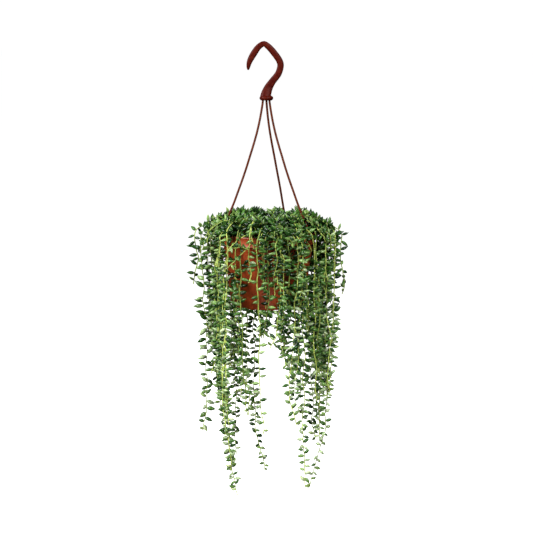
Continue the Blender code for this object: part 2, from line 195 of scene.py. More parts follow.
def makePotPlastic():
    # polypropylene, injection moulded, coloured like fired clay: satin, faint flow streaks, and pale specks
    # near the rim that are dust and painted highlight
    made, tree, shader = newMaterial("mouldedTerracottaPolypropylene")
    look = {"deep": "7a2909", "warm": "9f4213", "dustAndHighlight": "b8765a", "dustAndHighlightMm": 22, "mottleMm": 14,
            "streakMm": 6, "speckMm": 3, "grainMm": 0.7}
    place = addNode(tree, "ShaderNodeTexCoord")
    mottle = addNode(tree, "ShaderNodeTexNoise", {"Scale": 1 / (look["mottleMm"] * mm), "Detail": 4.0},
                     {"Vector": place.outputs["Object"]})
    streakSpace = addNode(tree, "ShaderNodeMapping", {"Scale": (1.0, 1.0, 0.12)},
                          {"Vector": place.outputs["Object"]})
    streak = addNode(tree, "ShaderNodeTexNoise", {"Scale": 1 / (look["streakMm"] * mm), "Detail": 3.0},
                     {"Vector": streakSpace.outputs["Vector"]})
    blend = addNode(tree, "ShaderNodeMath", {"operation": "MULTIPLY_ADD", 1: 0.45},
                    {0: streak.outputs["Fac"], 2: mottle.outputs["Fac"]})
    colour = paintRamp(addNode(tree, "ShaderNodeValToRGB", None, {"Fac": blend.outputs["Value"]}),
                       [(0.45, look["deep"]), (0.95, look["warm"])])
    height = addNode(tree, "ShaderNodeSeparateXYZ", None, {"Vector": place.outputs["Object"]})
    # pale specks near the rim: dust, and a painted highlight where the rim and collar catch the light
    nearRim = addNode(tree, "ShaderNodeMapRange",
                      {"From Min": (rimZ - look["dustAndHighlightMm"]) * mm, "From Max": (rimZ + 1) * mm},
                      {"Value": height.outputs["Z"]})
    speck = addNode(tree, "ShaderNodeTexNoise",
                    {"Scale": 1 / (look["speckMm"] * mm), "Detail": 5.0, "Roughness": 0.7},
                    {"Vector": place.outputs["Object"]})
    dustAndHighlightShape = addNode(tree, "ShaderNodeMapRange", {"From Min": 0.5, "From Max": 0.75, "To Max": 0.25},
                        {"Value": speck.outputs["Fac"]})
    dustAndHighlightMask = addNode(tree, "ShaderNodeMath", {"operation": "MULTIPLY"},
                       {0: dustAndHighlightShape.outputs["Result"], 1: nearRim.outputs["Result"]})
    dustedAndHighlighted = addNode(tree, "ShaderNodeMixRGB", {"Color2": hexColour(look["dustAndHighlight"])},
                     {"Fac": dustAndHighlightMask.outputs["Value"], "Color1": colour.outputs["Color"]})
    tree.links.new(dustedAndHighlighted.outputs["Color"], shader.inputs["Base Color"])
    rough = addNode(tree, "ShaderNodeMapRange", {"To Min": 0.36, "To Max": 0.5},
                    {"Value": mottle.outputs["Fac"]})
    tree.links.new(rough.outputs["Result"], shader.inputs["Roughness"])
    grain = addNode(tree, "ShaderNodeTexNoise", {"Scale": 1 / (look["grainMm"] * mm), "Detail": 2.0},
                    {"Vector": place.outputs["Object"]})
    bump = addNode(tree, "ShaderNodeBump", {"Strength": 0.12, "Distance": 0.1 * mm},
                   {"Height": grain.outputs["Fac"]})
    tree.links.new(bump.outputs["Normal"], shader.inputs["Normal"])
    shader.inputs["IOR"].default_value = 1.49
    return made


def makeHangerPlastic(name, deep, warm):
    # polypropylene again, dark red-brown, from a finely textured mould that takes most of its shine away
    made, tree, shader = newMaterial(name)
    look = {"deep": deep, "warm": warm, "mottleMm": 5, "grainMm": 0.5}
    place = addNode(tree, "ShaderNodeTexCoord")
    mottle = addNode(tree, "ShaderNodeTexNoise", {"Scale": 1 / (look["mottleMm"] * mm), "Detail": 5.0},
                     {"Vector": place.outputs["Object"]})
    colour = paintRamp(addNode(tree, "ShaderNodeValToRGB", None, {"Fac": mottle.outputs["Fac"]}),
                       [(0.3, look["deep"]), (0.7, look["warm"])])
    tree.links.new(colour.outputs["Color"], shader.inputs["Base Color"])
    rough = addNode(tree, "ShaderNodeMapRange", {"To Min": 0.4, "To Max": 0.55},
                    {"Value": mottle.outputs["Fac"]})
    tree.links.new(rough.outputs["Result"], shader.inputs["Roughness"])
    grain = addNode(tree, "ShaderNodeTexNoise", {"Scale": 1 / (look["grainMm"] * mm), "Detail": 2.0},
                    {"Vector": place.outputs["Object"]})
    bump = addNode(tree, "ShaderNodeBump", {"Strength": 0.1, "Distance": 0.1 * mm},
                   {"Height": grain.outputs["Fac"]})
    tree.links.new(bump.outputs["Normal"], shader.inputs["Normal"])
    shader.inputs["IOR"].default_value = 1.49
    shader.inputs["Specular IOR Level"].default_value = 0.08
    return made


def makeLeafSkin():
    # a succulent's waxy skin: deep green, smooth enough for small bright glints, with a darker window line
    made, tree, shader = newMaterial("waxySucculentLeaf")
    look = {"bloomMm": 2.2, "window": "1d4014", "young": [(0.0, "6c8636"), (1.0, "b6c46e")],
            "grown": [(0.0, "061803"), (0.3, "1c3f11"), (0.55, "48712b"), (0.8, "86a55e"), (1.0, "bccda2")]}
    tone = addNode(tree, "ShaderNodeAttribute", {"attribute_name": "tone"})
    age = addNode(tree, "ShaderNodeAttribute", {"attribute_name": "along"})
    window = addNode(tree, "ShaderNodeAttribute", {"attribute_name": "window"})
    place = addNode(tree, "ShaderNodeTexCoord")
    bloom = addNode(tree, "ShaderNodeTexNoise", {"Scale": 1 / (look["bloomMm"] * mm), "Detail": 4.0},
                    {"Vector": place.outputs["Object"]})
    mixed = addNode(tree, "ShaderNodeMath", {"operation": "MULTIPLY_ADD", 1: 0.35, 2: -0.17},
                    {0: bloom.outputs["Fac"]})
    toned = addNode(tree, "ShaderNodeMath", {"operation": "ADD"},
                    {0: tone.outputs["Fac"], 1: mixed.outputs["Value"]})
    grown = paintRamp(addNode(tree, "ShaderNodeValToRGB", None, {"Fac": toned.outputs["Value"]}),
                      look["grown"])
    young = paintRamp(addNode(tree, "ShaderNodeValToRGB", None, {"Fac": toned.outputs["Value"]}),
                      look["young"])
    youth = addNode(tree, "ShaderNodeMapRange", {"From Min": 0.82, "From Max": 1.0, "To Max": 0.6},
                    {"Value": age.outputs["Fac"]})
    skin = addNode(tree, "ShaderNodeMixRGB", None, {"Fac": youth.outputs["Result"],
                   "Color1": grown.outputs["Color"], "Color2": young.outputs["Color"]})
    windowShare = addNode(tree, "ShaderNodeMath", {"operation": "MULTIPLY", 1: 0.55},
                          {0: window.outputs["Fac"]})
    lined = addNode(tree, "ShaderNodeMixRGB", {"Color2": hexColour(look["window"])},
                    {"Fac": windowShare.outputs["Value"], "Color1": skin.outputs["Color"]})
    tree.links.new(lined.outputs["Color"], shader.inputs["Base Color"])
    rough = addNode(tree, "ShaderNodeMapRange", {"To Min": 0.24, "To Max": 0.42},
                    {"Value": bloom.outputs["Fac"]})
    tree.links.new(rough.outputs["Result"], shader.inputs["Roughness"])
    shader.inputs["IOR"].default_value = 1.45
    shader.inputs["Specular IOR Level"].default_value = 0.4
    shader.inputs["Subsurface Weight"].default_value = 0.12
    shader.inputs["Subsurface Radius"].default_value = (0.4, 1.0, 0.2)
    shader.inputs["Subsurface Scale"].default_value = 1.5 * mm
    shader.inputs["Coat Weight"].default_value = 0.2
    shader.inputs["Coat Roughness"].default_value = 0.24
    return made


def makeStemSkin():
    # smooth herbaceous stem: woody tan where it is old, pale yellow-green where it still grows
    made, tree, shader = newMaterial("herbaceousStem")
    look = {"patchMm": 9, "aged": [(0.1, "5a5230"), (0.22, "5c6c2c"), (0.36, "82983f"), (0.55, "a4b352"),
                                   (0.8, "b9cb68")]}
    age = addNode(tree, "ShaderNodeAttribute", {"attribute_name": "along"})
    tone = addNode(tree, "ShaderNodeAttribute", {"attribute_name": "tone"})
    place = addNode(tree, "ShaderNodeTexCoord")
    patch = addNode(tree, "ShaderNodeTexNoise", {"Scale": 1 / (look["patchMm"] * mm), "Detail": 3.0},
                    {"Vector": place.outputs["Object"]})
    mixed = addNode(tree, "ShaderNodeMath", {"operation": "MULTIPLY_ADD", 1: 0.6},
                    {0: patch.outputs["Fac"], 2: tone.outputs["Fac"]})
    aged = addNode(tree, "ShaderNodeMath", {"operation": "MULTIPLY_ADD", 1: 0.2},
                   {0: age.outputs["Fac"], 2: mixed.outputs["Value"]})
    half = addNode(tree, "ShaderNodeMath", {"operation": "MULTIPLY", 1: 0.5}, {0: aged.outputs["Value"]})
    colour = paintRamp(addNode(tree, "ShaderNodeValToRGB", None, {"Fac": half.outputs["Value"]}),
                       look["aged"])
    tree.links.new(colour.outputs["Color"], shader.inputs["Base Color"])
    shader.inputs["Roughness"].default_value = 0.45
    shader.inputs["IOR"].default_value = 1.45
    return made


def makeSoilMaterial():
    # peat-based potting mix: nearly black fibres and crumbs, quite matt
    made, tree, shader = newMaterial("peatPottingMix")
    look = {"crumbMm": 2.5, "peat": [(0.3, "1d140d"), (0.55, "3a2a1c"), (0.75, "5e4530")]}
    place = addNode(tree, "ShaderNodeTexCoord")
    crumbs = addNode(tree, "ShaderNodeTexNoise",
                     {"Scale": 1 / (look["crumbMm"] * mm), "Detail": 6.0, "Roughness": 0.7},
                     {"Vector": place.outputs["Object"]})
    colour = paintRamp(addNode(tree, "ShaderNodeValToRGB", None, {"Fac": crumbs.outputs["Fac"]}),
                       look["peat"])
    tree.links.new(colour.outputs["Color"], shader.inputs["Base Color"])
    bump = addNode(tree, "ShaderNodeBump", {"Strength": 0.7, "Distance": 1 * mm},
                   {"Height": crumbs.outputs["Fac"]})
    tree.links.new(bump.outputs["Normal"], shader.inputs["Normal"])
    shader.inputs["Roughness"].default_value = 0.95
    return made


potPlastic = makePotPlastic()
hangerPlastic = makeHangerPlastic("mouldedRedBrownPolypropylene", "350401", "4a1204")
# the legs take a paler copy of the hook's plastic: painted light, for thin rods that look lighter than the
# hook
legPlasticPaintedPaler = makeHangerPlastic("mouldedRedBrownRod", "40170a", "58270f")  # paler than the hook
leafSkin = makeLeafSkin()
stemSkin = makeStemSkin()
soilMaterial = makeSoilMaterial()
print("materials made")


# The pot: a turned shell with a collar, a foot ring and drain holes

potSize = {"collar": 15.0, "ledge": 3.5, "baseRadius": 54.5, "wall": 1.6, "foot": 2.0, "steps": 96,
           "drains": 6, "drainRadius": 4.0, "drainCircle": 36.0}


def makePot():
    size = potSize
    collarZ = rimZ - size["collar"]
    wallTop = rimRadius - size["ledge"]
    floorZ = baseZ + size["foot"]
    wall, base = size["wall"], size["baseRadius"]
    outline = [(0, floorZ), (base - 4.6, floorZ), (base - 4.2, floorZ - 0.4), (base - 3.9, baseZ + 0.2),
               (base - 3.6, baseZ), (base - 1.2, baseZ), (base - 0.4, baseZ + 0.3), (base, baseZ + 1.1)]
    rings = 8
    for k in range(1, rings + 1):  # the tapering wall
        share = k / rings
        outline.append((base + (wallTop - base) * share, baseZ + 1.1 + (collarZ - baseZ - 2.0) * share))
    rim = rimRadius
    outline += [(wallTop + 0.3, collarZ - 0.3), (wallTop + 0.9, collarZ), (rim - 0.9, collarZ),
                (rim - 0.3, collarZ + 0.3), (rim, collarZ + 0.9), (rim - 0.5, collarZ + 2.4),
                (rim - 0.6, rimZ - 3.4), (rim - 0.1, rimZ - 2.0), (rim, rimZ - 1.0),
                (rim - 0.35, rimZ - 0.3), (rim - 0.9, rimZ), (rim - 1.5, rimZ - 0.15),
                (rim - 1.9, rimZ - 0.8), (rim - wall - 0.5, collarZ + wall + 0.6),
                (rim - wall - 1.0, collarZ + wall), (wallTop - wall + 0.4, collarZ + 0.9),
                (wallTop - wall, collarZ - 0.4), (base - wall, floorZ + wall + 1.5),
                (base - wall - 0.4, floorZ + wall + 0.5), (base - wall - 1.5, floorZ + wall),
                (0, floorZ + wall)]
    bm = turnedBody(outline, potAxis, size["steps"])
    drains = bmesh.new()
    for k in range(size["drains"]):
        angle = math.tau * (k + 0.5) / size["drains"]
        at = potAxis + Vector((math.cos(angle), math.sin(angle), 0)) * size["drainCircle"]
        bmesh.ops.create_cone(drains, cap_ends=True, segments=24, radius1=size["drainRadius"],
                              radius2=size["drainRadius"], depth=4 * wall,
                              matrix=Matrix.Translation((at.x, at.y, floorZ + wall / 2)))
    withBooleans(bm, [(drains, "DIFFERENCE")])
    finishPiece("pot_shell", bm, [potPlastic], ["pot"], 30)


def makeSoil():
    size = {"crumbs": 260, "relief": 1.3}
    low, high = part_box("soil")
    radius = (high.x - low.x) / 2 / mm - 0.4
    bottom = low.z / mm
    chance = random.Random(5)
    profile = [(0, bottom), (50.5, bottom), (52.0, bottom + 2), (64.0, rimZ - 17), (radius, rimZ - 13),
               (radius, soilTop - 1.5), (radius - 1.5, soilTop - 0.4)]
    profile += [((radius - 1.5) * (1 - k / 14), soilTop - 0.4) for k in range(1, 15)]
    bm = turnedBody(profile, potAxis, 64)
    for vert in bm.verts:
        if vert.co.z > soilTop - 1.0:
            vert.co.z += size["relief"] * (noise.noise(vert.co * 0.16) - 0.3)
            vert.co.z += 0.5 * noise.noise(vert.co * 0.6)
    for _ in range(size["crumbs"]):
        angle, reach = chance.uniform(0, math.tau), (radius - 3) * math.sqrt(chance.random())
        grain = chance.uniform(0.8, 2.4)
        at = potAxis + Vector((math.cos(angle) * reach, math.sin(angle) * reach, soilTop - 0.2 * grain))
        squeeze = Matrix.Diagonal((1, chance.uniform(0.6, 1), chance.uniform(0.5, 0.9), 1))
        turn = Matrix.Rotation(chance.uniform(0, math.tau), 4, "Z")
        place = Matrix.Translation(at) @ turn @ squeeze
        bmesh.ops.create_icosphere(bm, subdivisions=1, radius=grain, matrix=place)
    finishPiece("soil_ball", bm, [soilMaterial], ["soil"])


# The hook and its three legs

hookLine = [  # centreline in its plane, (x, z, half width), in mm from the hanging point
    (-21.9, -33.2, 1.5), (-21.7, -29.8, 2.7), (-20.4, -23.1, 3.8), (-17.6, -16.8, 4.5), (-12.8, -8.9, 4.8),
    (-7.1, -1.0, 4.4), (0.6, 4.0, 4.0), (6.4, 0.8, 4.4), (12.1, -4.8, 4.7), (17.5, -11.4, 4.8),
    (22.0, -17.6, 4.8), (24.8, -23.4, 4.8), (25.2, -29.3, 4.8), (22.0, -39.4, 4.9), (13.8, -50.2, 5.2),
    (8.6, -58.0, 6.1), (5.5, -65.1, 7.1), (3.9, -70.1, 7.6), (3.5, -73.5, 8.1)]
hub = {"x": 4.6, "top": -71.0, "bottom": -78.1, "radius": 10.1, "socketCircle": 5.5, "ballZ": -74.1,
       "ballRadius": 2.4, "legRadius": 1.55, "gap": 0.35}
legs = {  # azimuth of the socket, azimuth of the clip, how far the leg bows sideways
    "hanger_leg_left": (200, 200, 0.0), "hanger_leg_back": (88, 68, 3.3), "hanger_leg_right": (-32, -33, 0.0)}
legLine = [  # (share of the way across from socket to clip, height)
    (0.0, -80.0), (0.022, -89.0), (0.075, -106.5), (0.142, -124.0), (0.224, -141.5), (0.313, -158.5),
    (0.405, -176.0), (0.505, -193.5), (0.61, -210.5), (0.715, -227.5), (0.875, -250.0), (0.95, -261.5),
    (1.0, -273.5)]
clipSize = {"halfWidth": 2.4, "halfDepth": 1.1, "bend": 2.0, "toe": 2.2, "middle": 6.0}


def around(centre, azimuth, reach, height=0.0):
    angle = math.radians(azimuth)
    return Vector((centre.x + reach * math.cos(angle), centre.y + reach * math.sin(angle), height))


def makeHook():
    size = {"thickness": 6.4, "tipPitch": 2.2, "blendFrom": -58.0, "blendLength": 15.5, "blendExtra": 4.6}
    line = smoothLine([Vector((x, half, z)) for x, z, half in hookLine], size["tipPitch"])
    points = [Vector((p.x, 0, p.z)) for p in line]
    sizes = []
    for p in line:
        swell = max(0.0, min(1.0, (size["blendFrom"] - p.z) / size["blendLength"]))
        sizes.append((p.y, min(p.y, size["thickness"] / 2 + size["blendExtra"] * swell)))
    first = points[0] - points[1]
    points.insert(0, points[0] + first * 0.35)  # a rounded tip
    sizes.insert(0, (sizes[0][0] * 0.55, sizes[0][1] * 0.55))
    bm = sweptBody(points, sizes, Vector((1, 0, 1)), 20, 0.72)
    centre = Vector((hub["x"], 0, 0))
    radius, low = hub["radius"], hub["bottom"]
    hubOutline = [(0, low), (radius - 2.6, low), (radius - 1.9, low + 0.25), (radius - 1.1, low + 0.9),
                  (radius - 0.5, low + 1.8), (radius - 0.1, low + 2.6), (radius, low + 3.4),
                  (radius - 0.1, low + 4.2), (radius - 0.5, low + 5.1), (radius - 1.2, low + 5.9),
                  (radius - 2.2, low + 6.5), (radius - 3.6, hub["top"]), (0, hub["top"])]
    changes = [(turnedBody(hubOutline, centre, 48), "UNION")]
    cavityRadius = hub["ballRadius"] + hub["gap"]
    for socketAzimuth, _, _ in legs.values():
        neck = hub["legRadius"] + hub["gap"]
        cavity = [(0, low - 2), (neck, low - 2), (neck, hub["ballZ"] - 1.9)]
        for degrees in (-35, -10, 15, 40, 65):
            turn = math.radians(degrees)
            cavity.append((cavityRadius * math.cos(turn), hub["ballZ"] + cavityRadius * math.sin(turn)))
        cavity.append((0, hub["ballZ"] + cavityRadius))
        socket = around(centre, socketAzimuth, hub["socketCircle"])
        changes.append((turnedBody(cavity, socket, 20), "DIFFERENCE"))
    withBooleans(bm, changes)
    finishPiece("hook_body", bm, [hangerPlastic], ["hook"], 38)


def makeLeg(name, socketAzimuth, clipAzimuth, bow):
    radius, gap = hub["legRadius"], hub["gap"]
    wide, deep, bend = clipSize["halfWidth"], clipSize["halfDepth"], clipSize["bend"]
    top = around(Vector((hub["x"], 0, 0)), socketAzimuth, hub["socketCircle"])
    reach = rimRadius + gap + deep
    clip = around(potAxis, clipAzimuth, reach)
    outward = (clip - potAxis).normalized()
    points, sizes = [], []
    for degrees in (76, 50, 25, 0, -25, -50):
        turn = math.radians(degrees)
        points.append(Vector((top.x, top.y, hub["ballZ"] + hub["ballRadius"] * math.sin(turn))))
        size = max(radius if degrees < 0 else 0.0, hub["ballRadius"] * math.cos(turn))
        sizes.append((size, size))
    aside = (clip - top).cross(up).normalized() * bow * 1.7
    line = []
    for share, z in legLine:
        down = (z - legLine[0][1]) / (legLine[-1][1] - legLine[0][1])
        at = top.lerp(clip, share) + aside * down * math.sin(math.pi * down)
        line.append(Vector((at.x, at.y, z)))
    run = smoothLine(line, 4.0)
    for point in run:  # round until just over the rim, then pressed flat
        flat = max(0.0, min(1.0, (rimZ + 9 - point.z) / 8))
        flat = flat * flat * (3 - 2 * flat)
        points.append(point)
        sizes.append((radius + (wide - radius) * flat, radius + (deep - radius) * flat))
    toeZ = rimZ - potSize["collar"] - gap - deep
    points.append(clip + up * (rimZ - clipSize["middle"]))
    sizes.append((wide, deep))
    for degrees in (0, 22, 45, 68, 90):
        turn = math.radians(degrees)
        at = around(potAxis, clipAzimuth, reach - bend + bend * math.cos(turn))
        points.append(Vector((at.x, at.y, toeZ + bend - bend * math.sin(turn))))
        sizes.append((wide, deep))
    points.append(around(potAxis, clipAzimuth, reach - bend - clipSize["toe"], toeZ))
    sizes.append((0.8 * wide, 0.8 * deep))
    bm = sweptBody(points, sizes, up.cross(outward), 16, 0.85)
    finishPiece(name + "_rod", bm, [legPlasticPaintedPaler], [name], 50)


makePot()
makeSoil()
makeHook()
for legName, (socketAzimuth, clipAzimuth, bow) in legs.items():
    makeLeg(legName, socketAzimuth, clipAzimuth, bow)
print("pot, soil, hook and legs made")


# The plant: stems with plump pointed leaves

plant = {"stemTop": 0.78, "stemTip": 0.82, "shoot": 0.65, "shootTip": 0.55, "ringPitch": 3.0,
         "wander": 4.2, "swirl": 16.0, "archReach": 66, "rimReach": 68, "outerReach": 97, "hangFrom": 18,
         "driftAt": (0.4, 0.75, 1.0),
         "roots": [(24, 23), (50, 12), (38, 17.5)]}  # roots: reach from the axis, height of the arch
leaves = {"old": (13.6, 5.3), "low": (9.8, 5.5), "lowAfter": 300, "pitch": 4.7, "pitchSpread": (0.6, 1.4),
          "sizeSpread": (0.8, 1.12), "toneSpread": (-0.44, 0.4), "darker": 0.16, "lowPaintedLight": 0.5,
          "roll": 1.2, "sameSide": 0.12, "baldLeaf": 0.15, "turnOver": 50, "freeFrom": 80, "freeOver": 50,
          "firstAt": 9, "firstAtOuter": 55}
sideShoots = {"from": (-0.08, 0.6), "fromUnderRim": 0.1, "rings": (14, 48), "spread": (4, 9), "proud": (0, 4),
              "parting": 26, "age": 0.3, "firstLeaf": 4, "leafSize": 0.85, "leafPitch": 0.9}
rimShoots = {"drooping": 2, "droopFrom": (3, 8), "droopRings": (4, 14), "droopSpread": (4, 12),
             "droopProud": (1, 5), "droopPitch": 0.85, "rising": 3, "risingWhereBare": 1,
             "riseFrom": (0, 9), "riseHeight": (9, 25), "riseLeast": 6.0, "riseLean": (4, 14),
             "risePitch": 0.8, "riseYoungEnd": 10.0}
bundled = {"spread": (1.5, 4), "pitch": 1.5, "thick": 0.8}
frontStems = [  # azimuth, reach from the pot's axis, length below the rim, drift along x, side shoots
    (-4, 108, 92, (2, 6, 2), 0), (-9, 98, 234, (0, 0, -3), 3), (-17, 88, 382, (4, 1, -23), 3),
    (-25, 78, 205, (3, 2, 4), 2), (-40, 88, 242, (0, 2, 3), 2), (-47, 77, 150, (3, 4, 2), 2),
    (-55, 84, 371, (4, 3, 6), 3), (-62, 92, 274, (-6, -13, -4), 3), (-68, 80, 198, (1, -4, 4), 3),
    (-78, 88, 158, (-1, -4, -15), 3), (-90, 82, 146, (0, -2, -8), 3), (-101, 89, 285, (4, 7, 10), 0),
    (-109, 82, 62, (0, 2, -3), 0), (-117, 86, 258, (1, 4, 9), 0), (-126, 77, 228, (-2, 1, 6), 2),
    (-133, 86, 346, (-4, -1, 3), 5), (-142, 92, 388, (3, 12, 29), 7), (-151, 80, 205, (2, -2, -13), 3),
    (-167, 86, 178, (2, 4, 7), 2), (-175, 98, 301, (4, 6, -1), 0)]
backStems = [
    (1, 86, 262, (-4, -2, 3), 3), (10, 96, 190, (0, 3, 2), 3), (19, 84, 326, (0, 0, -2), 3),
    (28, 92, 225, (2, -2, -6), 3), (37, 84, 333, (0, 0, 5), 2), (46, 94, 180, (0, 2, 6), 3),
    (55, 82, 268, (-2, 1, 4), 2), (76, 84, 215, (2, 5, 4), 2), (85, 94, 150, (0, -3, -6), 2),
    (94, 82, 176, (0, -2, -5), 2), (104, 90, 391, (0, 1, 18), 2), (114, 80, 297, (1, 1, 3), 3),
    (125, 88, 361, (0, 0, 2), 3), (134, 78, 214, (-2, -3, -5), 3), (143, 92, 282, (0, 3, 1), 3),
    (152, 82, 190, (0, -2, -4), 3), (161, 88, 166, (2, 3, 8), 0), (169, 82, 222, (-2, 0, 4), 2),
    (175, 108, 80, (2, -2, -6), 0), (180, 90, 168, (0, 2, 5), 0)]
sparse = {  # stems that show between their leaves, by how much wider apart the leaves stand
    1: 1.25, 2: 1.15, 3: 1.2, 4: 1.2, 5: 1.5, 6: 1.7, 12: 1.9, 13: 1.3, 14: 1.25, 15: 1.15,
    18: 1.15, 19: 1.15, 20: 1.3, 21: 1.2, 22: 1.2, 23: 1.15, 24: 1.15, 38: 1.2, 39: 1.25, 40: 1.2}
leafless = {  # stretches with hardly any leaves, in mm below the rim
    13: (-6, 22), 14: (-6, 26), 15: (-4, 34), 16: (-4, 48), 17: (2, 52), 18: (6, 50), 4: (0, 30), 5: (-2, 26),
    12: (-6, 16), 38: (6, 60), 40: (6, 60), 25: (6, 40)}
leafScale = {19: 1.1, 20: 1.3}  # stems with larger leaves than the rest
bundles = (16, 17, 3)  # stems whose side shoots hang close beside them
bareRim = (4, 5, 6, 12, 13, 14, 15, 16, 38, 40)  # stems beside which the pot's collar shows
crossings = {  # shoots that run across the front of the pot, as (x, y, height over the rim)
    13: [[(-25, -79, 6), (-34, -81, 0), (-44, -81, -9), (-51, -79, -22)]],
    14: [[(-14, -85, -2), (-24, -87, -14), (-38, -85, -29), (-50, -82, -42)]],
    15: [[(-53, -72, -11), (-42, -81, -12), (-30, -86, -10), (-21, -87, -14)]],
    9: [[(46, -73, 4), (55, -74, 1), (64, -72, -6), (69, -70, -18)]],
    17: [[(-44, -50, 20), (-57, -56, 24), (-72, -52, 15), (-84, -44, -2), (-89, -40, -20)]],
    12: [[(-8, -62, 24), (-14, -76, 22), (-17, -86, 10), (-15, -90, -12)]],
    10: [[(10, -60, 26), (22, -74, 22), (33, -82, 8), (36, -86, -14)]],
}


def makeLeafShape():  # one spindle, 1 long on +X and 1 thick, its window line on +Z
    bm = bmesh.new()
    bmesh.ops.create_uvsphere(bm, u_segments=6, v_segments=6, radius=1.0,
                              matrix=Matrix.Rotation(math.pi / 2, 4, "Y"))
    window = bm.verts.layers.float.new("window")
    girths = {-1.0: 0.0, -0.87: 0.52, -0.5: 0.94, 0.0: 1.0, 0.5: 0.66, 0.87: 0.22, 1.0: 0.0}
    for vert in bm.verts:
        station = min(girths, key=lambda key: abs(key - vert.co.x))
        ringSize = math.hypot(vert.co.y, vert.co.z)
        if ringSize > 1e-4:
            vert[window] = 1.0 if vert.co.z / ringSize > 0.8 else 0.0
            vert.co.y *= 0.5 * girths[station] / ringSize
            vert.co.z *= 0.5 * girths[station] / ringSize
        share = (station + 1) / 2
        vert.co.z = vert.co.z * 0.92 - 0.12 * share * share  # the tip bends down a little
        vert.co.x = 1.06 if station == 1.0 else share
    for face in bm.faces:
        face.material_index = 1
        face.smooth = True
    mesh = bpy.data.meshes.new("leafShape")
    bm.to_mesh(mesh)
    bm.free()
    return mesh


leafShape = makeLeafShape()
leafCount = 0


def stemRoute(azimuth, reach, drop, drift, root, swirl):
    rootReach, arch = root
    start = soilTop + 0.35 - rimZ  # spots are (reach from the axis, height over the rim), up and over the rim
    over, hangFrom = plant["archReach"], plant["hangFrom"]
    spots = [(rootReach, start), (rootReach, start + 4), (rootReach + 5, 0.45 * arch),
             (0.5 * (rootReach + over) - 1, arch), (over, arch - 1), (reach - 3, 0.2 * arch + 1),
             (reach, -hangFrom)]
    points = []
    for k, (r, z) in enumerate(spots):  # a stem leaves its root a little to one side of where it hangs
        points.append(around(potAxis, azimuth + swirl * (1 - k / 6) ** 0.7, r, rimZ + z))
    for share, shift in zip(plant["driftAt"], drift):
        at = around(potAxis, azimuth, reach, rimZ - hangFrom - (drop - hangFrom) * share)
        points.append(at + Vector((shift, 0, 0)))
    return points


def wandering(points, amount, seed):  # slow sway and small kinks, eased in from the first point on
    size = {"swayPace": 0.09, "kinkPace": 0.4, "kink": 0.8, "easeRings": 8}
    moved = []
    for i, point in enumerate(points):
        ease = min(1.0, i / size["easeRings"])
        sway = noise.noise_vector(Vector((i * size["swayPace"], seed * 3.7, 0.5))) * amount
        kink = noise.noise_vector(Vector((i * size["kinkPace"], seed * 1.3, 7.5))) * size["kink"]
        moved.append(point + (sway + kink) * ease)
    return moved


def addStem(bm, points, thick, thin, tone, ageStart=0.0):
    curve = bpy.data.curves.new("stem", "CURVE")
    curve.dimensions = "3D"
    curve.bevel_depth = 1.0
    curve.bevel_resolution = 1
    curve.use_fill_caps = True
    spline = curve.splines.new("POLY")
    spline.points.add(len(points) - 1)
    for i, point in enumerate(points):
        spline.points[i].co = (*point, 1)
        spline.points[i].radius = thick + (thin - thick) * i / (len(points) - 1)
    holder = bpy.data.objects.new("stem", curve)
    tube = bpy.data.meshes.new_from_object(holder)
    toneLayer, ageLayer = bm.verts.layers.float["tone"], bm.verts.layers.float["along"]
    before = len(bm.verts)
    bm.from_mesh(tube)
    bm.verts.ensure_lookup_table()
    added = bm.verts[before:]
    for k, vert in enumerate(added):
        vert[toneLayer] = tone
        vert[ageLayer] = ageStart + (1 - ageStart) * k / len(added)
    bpy.data.objects.remove(holder)
    bpy.data.curves.remove(curve)
    bpy.data.meshes.remove(tube)


def wallRadius(z):  # how far out the pot reaches at a height
    collarLow = rimZ - potSize["collar"] - 1
    if z > rimZ or z < baseZ:
        return 0.0
    if z > collarLow:
        return rimRadius
    base, top = potSize["baseRadius"], rimRadius - potSize["ledge"]
    return base + (top - base) * (z - baseZ) / (collarLow - baseZ)


def addLeaf(bm, at, direction, length, girth, tone, age, roll):
    global leafCount
    leafCount += 1
    side = up.cross(direction)
    side = side.normalized() if side.length > 0.1 else Vector((1, 0, 0))
    place = Matrix((direction, side, direction.cross(side))).transposed().to_4x4()
    place.translation = at
    before = len(bm.verts)
    bm.from_mesh(leafShape)
    bm.verts.ensure_lookup_table()
    toneLayer, ageLayer = bm.verts.layers.float["tone"], bm.verts.layers.float["along"]
    move = place @ Matrix.Rotation(roll, 4, "X") @ Matrix.Diagonal((length, girth, girth, 1))
    for vert in bm.verts[before:]:
        vert.co = move @ vert.co
        vert[toneLayer] = tone
        vert[ageLayer] = age


